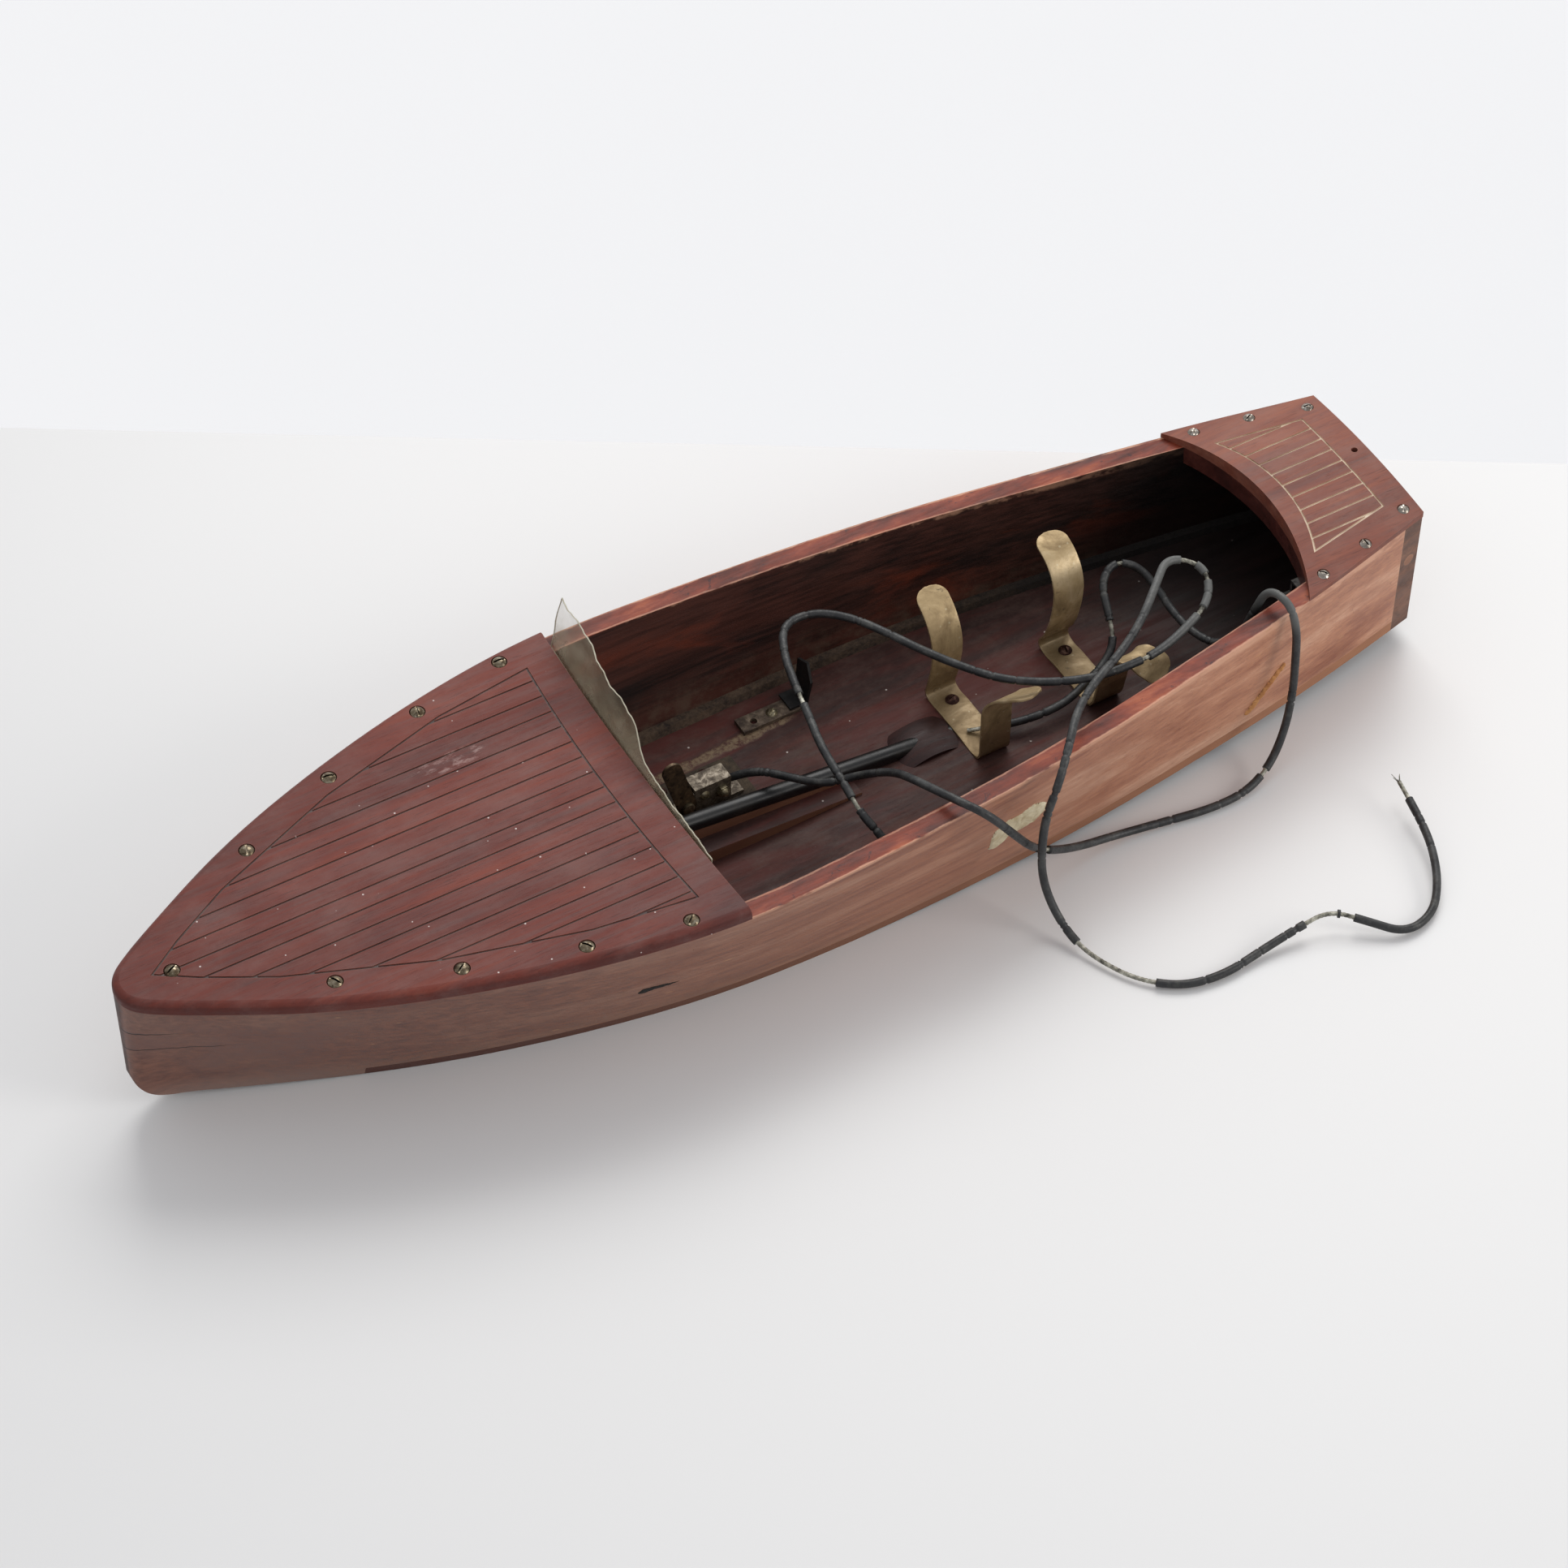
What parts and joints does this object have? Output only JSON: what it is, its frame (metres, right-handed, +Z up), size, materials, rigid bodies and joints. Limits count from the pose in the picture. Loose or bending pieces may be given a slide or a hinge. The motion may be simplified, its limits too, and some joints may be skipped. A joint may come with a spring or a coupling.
{
  "type": "model motorboat",
  "caption": "Vintage wooden model motorboat with scribed decks, open cockpit, stern tube, battery clips, knife switch and two loose rubber leads; flat bottom.",
  "frame": {"origin": "bottom centre of the hull's bounding box, on the flat of the bottom where it rests on a table", "axes": "+X towards the bow, +Y to port, +Z up"},
  "size_m": [0.484, 0.2223, 0.0855],
  "materials": {
    "floor_wood": "dusty, bare varnish",
    "side_wood": "worn satin varnish",
    "bow_wood": "worn satin varnish",
    "transom_wood": "end grain, worn",
    "plug_wood": "end grain, worn",
    "foredeck_wood": "matt aged varnish",
    "aft_deck_wood": "matt aged varnish",
    "beam_wood": "matt aged varnish",
    "deck_screw": "aged nickel",
    "celluloid": "yellowed, scratched, clear",
    "black_tube": "gloss black",
    "putty": "dark, dry",
    "steel": "dull",
    "coupling_brass": "dull",
    "motor_steel": "dull",
    "motor_enamel": "black enamel",
    "motor_brass": "dull",
    "switch_base": "hard rubber, dusty",
    "tarnished_brass": "tarnished",
    "lever_metal": "dark tarnish",
    "switch_metal": "tarnished",
    "rusty_screw": "rusty",
    "black_iron": "blackened",
    "grey_iron": "dull",
    "glue": "old glue, dusty",
    "clip_brass": "matt tarnish",
    "lead_rubber": "perished, cracked"
  },
  "bodies": {
    "hull": {"hull_bottom": "floor_wood", "hull_side_port": "side_wood", "hull_side_starboard": "side_wood", "bow_block": "bow_wood", "transom": "transom_wood", "transom_plugs": "plug_wood", "foredeck": "foredeck_wood", "foredeck_screws": "deck_screw", "aft_deck": "aft_deck_wood", "aft_deck_screws": "deck_screw", "aft_deck_beam": "beam_wood", "windscreen": "celluloid", "stern_tube": "black_tube", "shaft_log": "floor_wood", "tube_putty": "putty", "motor_field": "motor_enamel", "motor_bridges": "motor_brass", "motor_bed": "floor_wood", "switch_base": "switch_base", "switch_contacts": "tarnished_brass", "switch_pivot": "switch_metal", "switch_terminals": "switch_metal", "switch_screws": "rusty_screw", "floor_plate": "tarnished_brass", "floor_plate_screw": "switch_metal", "floor_bracket": "black_iron", "quarter_strap": "grey_iron", "floor_seams": "glue", "battery_clip_front": "clip_brass", "battery_clip_rear": "clip_brass", "clip_screws": "rusty_screw", "switch_lead": "lead_rubber", "battery_lead": "lead_rubber", "lead_tack": "rusty_screw"},
    "drive": {"propeller_shaft": "steel", "shaft_coupling": "coupling_brass", "motor_armature": "motor_steel"},
    "lever": {"switch_lever": "lever_metal"}
  },
  "joints": [
    {"name": "shaft_spin", "type": "hinge", "parent": "hull", "child": "drive", "pos_m": [0.08, 0, 0.02789], "axis": [0.9925, 0, 0.1219], "continuous": true},
    {"name": "switch_throw", "type": "hinge", "parent": "hull", "child": "lever", "pos_m": [0.0279, -0.00985, 0.0181], "axis": [0, 1, 0], "range_deg": [-30, 30]}
  ]
}
